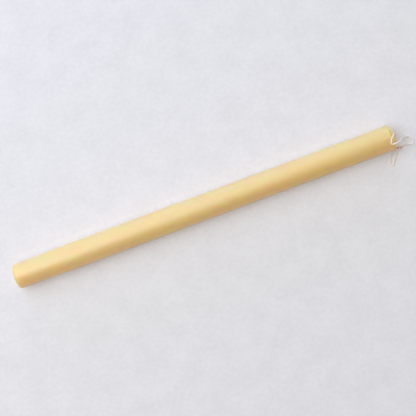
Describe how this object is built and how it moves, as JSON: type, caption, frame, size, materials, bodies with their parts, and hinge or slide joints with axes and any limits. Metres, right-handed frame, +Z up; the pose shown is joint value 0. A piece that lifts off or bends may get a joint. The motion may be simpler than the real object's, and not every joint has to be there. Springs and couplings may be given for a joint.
{
  "type": "taper candle",
  "caption": "Slim cylindrical beeswax taper candle lying on its side, with a plain straight foot, a low domed tip and a long free wick tied back on itself.",
  "frame": {"origin": "on the surface that the candle lies on, under the middle of its length", "axes": "+X along the candle from its foot to its tip, +Z up; the free wick lies past the tip, on the -Y side"},
  "size_m": [0.3991, 0.0383, 0.0263],
  "materials": {
    "beeswax": "satin",
    "wick_cotton": "matte",
    "waxed_knot": "satin"
  },
  "bodies": {
    "root": {"wax_body": "beeswax", "wick_core": "wick_cotton", "wick_tail": "wick_cotton", "wick_knot": "waxed_knot"}
  },
  "joints": []
}
